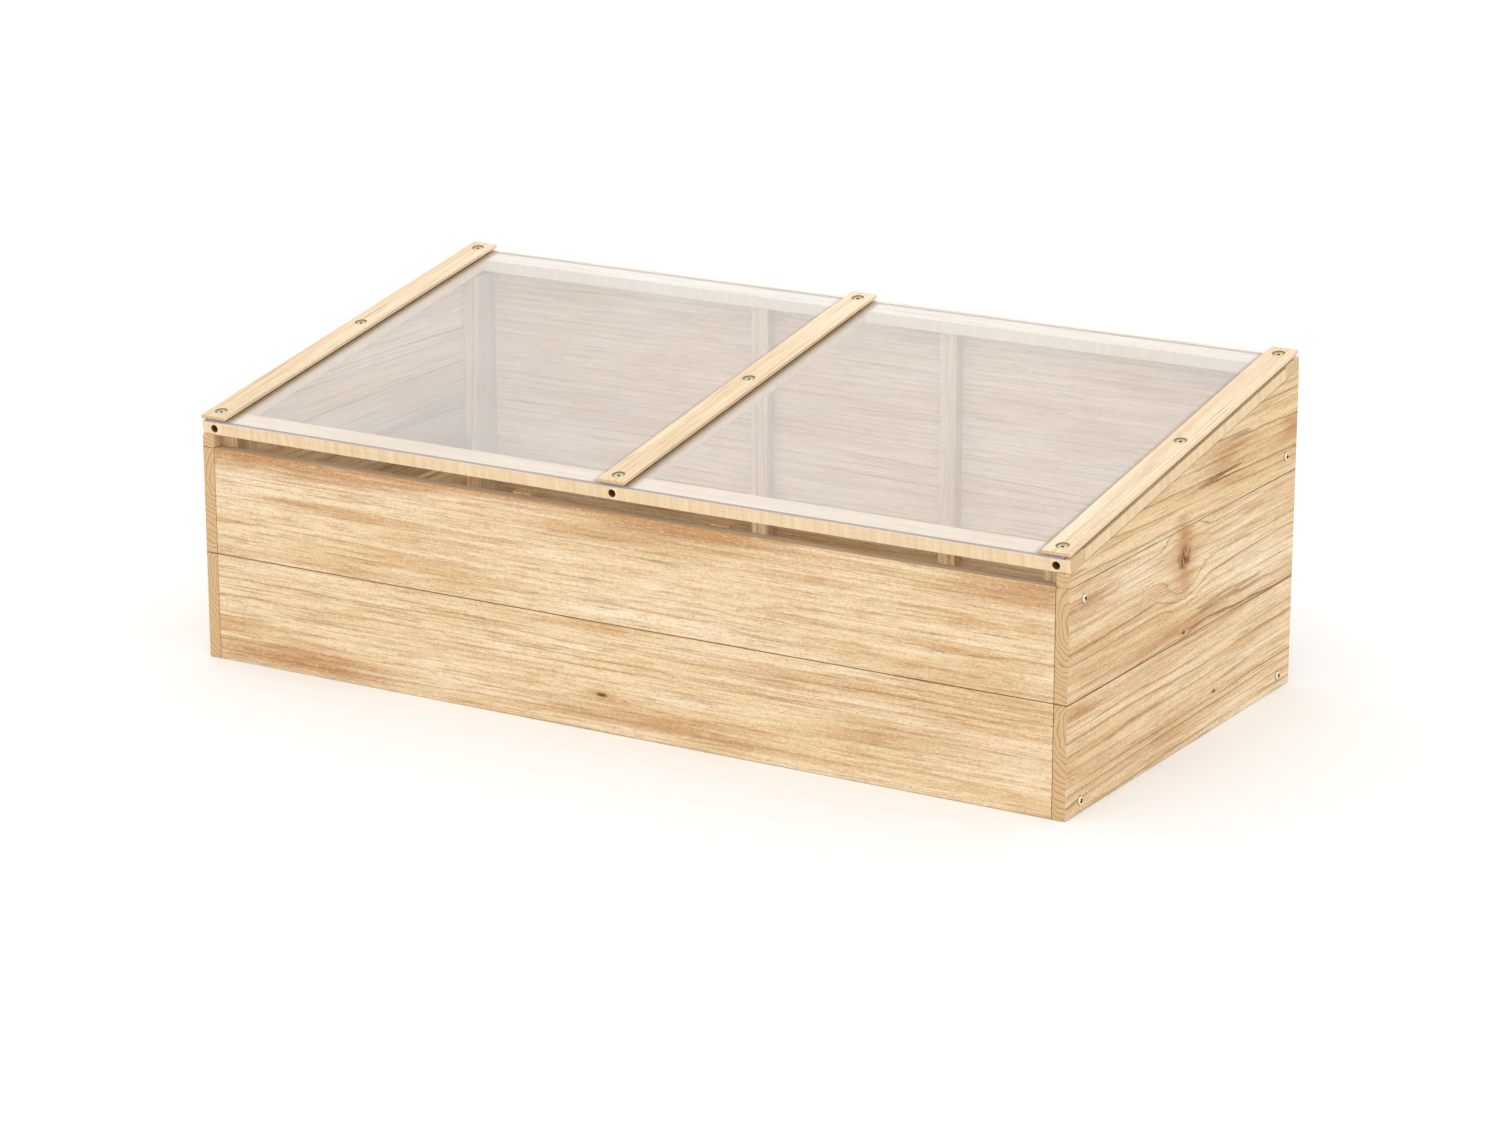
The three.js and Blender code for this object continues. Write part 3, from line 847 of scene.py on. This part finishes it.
def hinge_pin(node, place, half):
    """The pin, half its length between its heads in mm, with a rounded head at each end."""
    head = [(PIN_RADIUS, half), (PIN_HEAD, half), (PIN_HEAD, half + 0.6), (2.2, half + 0.95),
            (PIN_RADIUS, half + PIN_HEAD_THICKNESS), (0, half + PIN_HEAD_THICKNESS)]
    mesh = turned([(radius, -height) for radius, height in reversed(head)] + head)
    piece = new_object(f"{node}_metal", mesh, place @ Matrix.Rotation(math.pi / 2, 4, "Y"))
    piece.data.materials.append(ZINC)
    finished(piece, sharp=35)
    placed(piece, node)


for side in ("left", "right"):
    low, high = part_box(f"hinge_{side}_fixed_leaf")
    half = (high.x - low.x) / 2 / MM
    outer_knuckles = [(-half, -MIDDLE_KNUCKLE), (MIDDLE_KNUCKLE, half)]
    middle_knuckle = [(KNUCKLE_GAP - MIDDLE_KNUCKLE, MIDDLE_KNUCKLE - KNUCKLE_GAP)]
    still = Matrix.Translation(((low.x + high.x) / 2, axis.y, axis.z))
    tilted = still @ Matrix.Rotation(LID.to_euler().x, 4, "X")
    leaf(f"hinge_{side}_fixed_leaf", still, outer_knuckles, middle_knuckle, -LEAF_HEIGHT, half)
    leaf(f"hinge_{side}_moving_leaf", tilted, middle_knuckle, outer_knuckles, LEAF_HEIGHT, half)
    hinge_pin(f"hinge_{side}_pin", still, half + KNUCKLE_GAP)


# ---------- the box's boards, posts and cleats ----------

HALF_BOARD = 56.5
HALF_FRONT = 486  # half the length of the boards between the side panels
LOWER_SEAM, UPPER_SEAM = (-HALF_BOARD, 0.85, True), (HALF_BOARD, 0.85, True)
UPPER_SEAM_ON_FACES = (HALF_BOARD, 0.85, False)


def board(node, along, tone, grain, pith, seed, **marks):
    """A board of the box, whose material has the node's name without the word board."""
    look = wood(node.replace("_board", ""), tone, grain, pith, seed, **marks)
    timber(node, along, look)


board("front_board_upper", "X", BOARD, FRONT_GRAIN, pith=(70, -150), seed=1, seams=[LOWER_SEAM],
      ends=HALF_FRONT, grey_top=0.6,
      stains=[(-440, 54, 230, 20, 1), (-180, 57, 260, 10, 0.8), (90, 50, 180, 18, 0.9),
              (460, 46, 110, 17, 0.9), (-330, 8, 120, 8, 0.4)])
board("front_board_lower", "X", BOARD, dict(FRONT_GRAIN, line=0.55), pith=(60, 190), seed=2,
      seams=[UPPER_SEAM], ends=HALF_FRONT, knots=[(-14, -18, 8, 2.6, 0.9)],
      stains=[(-390, -44, 140, 16, 0.9), (230, 34, 200, 8, 0.4), (40, -40, 190, 12, 0.5),
              (320, -6, 110, 12, 0.35)])

board("rear_board_lower", "X", BOARD, PANEL_GRAIN, pith=(60, 160), seed=70, seams=[UPPER_SEAM],
      ends=HALF_FRONT, inside=-1, damp=0.75)
board("rear_board_middle", "X", BOARD, PANEL_GRAIN, pith=(-80, -120), seed=-70,
      seams=[LOWER_SEAM, UPPER_SEAM], ends=HALF_FRONT, inside=-1)
board("rear_board_upper", "X", BOARD, PANEL_GRAIN, pith=(70, 190), seed=80, ends=HALF_FRONT, inside=-1)

board("right_board_lower", "Y", BOARD, SIDE_GRAIN, pith=(50, -170), seed=3, seams=[UPPER_SEAM],
      knots=[(69, -17, 5, 2, 1)], stains=[(-230, 44, 50, 8, 0.9)])
board("right_board_middle", "Y", BOARD, SIDE_GRAIN, pith=(60, -140), seed=4,
      seams=[LOWER_SEAM, UPPER_SEAM_ON_FACES], knots=[(-6, 26, 17, 16, 0.5), (-4, -50, 5, 2.2, 1)],
      stains=[(-215, 34, 70, 12, 1), (-6, 50, 20, 12, 0.9), (-2, 2, 20, 14, 0.7), (-60, -44, 170, 7, 0.6)])
board("right_board_wedge", "Y", WEDGE_BOARD, SIDE_GRAIN, pith=(-50, -190), seed=5,
      stains=[(-10, -50, 22, 16, 0.7), (79, -4, 70, 18, 0.8), (245, -5, 34, 15, 0.8)])

board("left_board_lower", "Y", BOARD, LEFT_GRAIN, pith=(-60, 170), seed=-40, seams=[UPPER_SEAM],
      inside=-1, damp=0.75)
board("left_board_middle", "Y", BOARD, LEFT_GRAIN, pith=(-70, -130), seed=-50,
      seams=[LOWER_SEAM, UPPER_SEAM], inside=-1, damp=0.6)
board("left_board_wedge", "Y", BOARD, LEFT_GRAIN, pith=(60, 200), seed=80, inside=-1)

UPRIGHTS = itertools.product(("front", "rear"), ("left", "right"), ("post", "cleat"))
for seed, (end, side, part) in enumerate(UPRIGHTS, 41):
    node = f"{part}_{end}_{side}"
    look = wood(node, POST, POST_GRAIN, pith=(40, 60 - seed), seed=seed, shaded_sides=0.35)
    timber(node, "Z", look)


# ---------- lid ----------

HALF_RAIL, HALF_BATTEN = 6.75, 2  # half their thicknesses
RAIL_SEAMS = [(HALF_RAIL, 0.9, True), (-HALF_RAIL, 0.8, True)]
COLUMNS = "left", "middle", "right"

for i, (end, tone) in enumerate((("front", LID_WOOD), ("rear", REAR_RAIL_LIT_WOOD))):
    node = f"lid_rail_{end}"
    look = wood(node, tone, LID_GRAIN, pith=(90, -60 - 20 * i), seed=60 + i)
    timber(node, "X", look, LID)

for i, column in enumerate(COLUMNS):
    node = f"lid_rail_{column}"
    look = wood(node, SIDE_RAIL_WOOD, LID_GRAIN, pith=(70, -50 - 9 * i), seed=70 + i, seams=RAIL_SEAMS)
    timber(node, "Y", look, LID)
    node = f"batten_{column}"
    rim_shades = [middle_in(f"batten_screw_{column}_{row}", LID).y - middle_in(node, LID).y
             for row in ("front", "centre", "rear")]
    look = wood(node, BATTEN_WOOD, BATTEN_GRAIN, pith=(-80, -60 - 9 * i), seed=80 + i,
                seams=[(-HALF_BATTEN, 0.9, True)], rim_shades=rim_shades)
    timber(node, "Y", look, LID, ease=BATTEN_EASE)

low, high = box_in("lid_sheet", LID)
strip_left, strip_right = box_in("batten_left", LID)
strip_places = [middle_in(f"batten_{column}", LID).x for column in COLUMNS]
half_strip = (strip_right.x - strip_left.x) / 2
bm = bmesh.new()
add_box(bm, low, high)
ease_edges(bm, bm.edges[:], SHEET_EASE, 2)
sheet = new_object("lid_sheet_clear", mesh_from(bm, "lid_sheet"), LID)
sheet.data.materials.append(sheet_material(strip_places, half_strip, high.z - low.z))
boolean(sheet, joined(cutters_through(low, high, LID)))
underside = Matrix.Translation((0, 0, low.z))
sheet.data.transform(underside.inverted())
sheet.matrix_world = LID @ underside
finished(sheet)
placed(sheet, "lid_sheet")


# ---------- floor, light and camera ----------

FLOOR_HALF = 30
FLOOR_DROP = 0.5 * MM
SUN_TOWARDS, SUN_POWER, SUN_SOFTNESS = Vector((0.10, -0.42, 0.86)), 0.52, math.radians(50)
AZIMUTH, ELEVATION, DISTANCE = math.radians(31.06), math.radians(16.27), 4.556
TARGET = Vector((0.005, 0.003, 0.114))
SENSOR, LENS = 36, 106.46


def floor_material():
    t = Tree("floor")
    cloud = t.waves(t.new("ShaderNodeTexCoord").outputs["Object"], 0.7, 0.7, 0.7, 3)
    return t.surface(t.principled(
        Base_Color=t.mix(cloud, srgb(247, 247, 247), srgb(250, 250, 250)), Roughness=0.9,
        Specular_IOR_Level=0.2))


bm = bmesh.new()
bmesh.ops.create_grid(bm, x_segments=4, y_segments=4, size=FLOOR_HALF)
floor = new_object("floor", mesh_from(bm, "floor"), Matrix.Translation((0, 0, -FLOOR_DROP)))
floor.data.materials.append(floor_material())

light = bpy.data.lights.new("key", "SUN")
light.energy, light.angle = SUN_POWER, SUN_SOFTNESS
lamp = new_object("key", light)
lamp.rotation_euler = SUN_TOWARDS.to_track_quat("Z", "Y").to_euler()

scene = bpy.context.scene
world = bpy.data.worlds.new("studio")
world.use_nodes = True
world.node_tree.nodes["Background"].inputs["Color"].default_value = (1, 1, 1, 1)
world.node_tree.nodes["Background"].inputs["Strength"].default_value = 1.0
scene.world = world
scene.view_settings.view_transform = "Standard"

away = Vector((math.sin(AZIMUTH) * math.cos(ELEVATION), -math.cos(AZIMUTH) * math.cos(ELEVATION),
               math.sin(ELEVATION)))
camera = new_object("camera", bpy.data.cameras.new("camera"))
camera.data.sensor_width, camera.data.lens, camera.data.clip_end = SENSOR, LENS, 100
camera.location = TARGET + away * DISTANCE
camera.rotation_euler = (-away).to_track_quat("-Z", "Y").to_euler()
scene.camera = camera
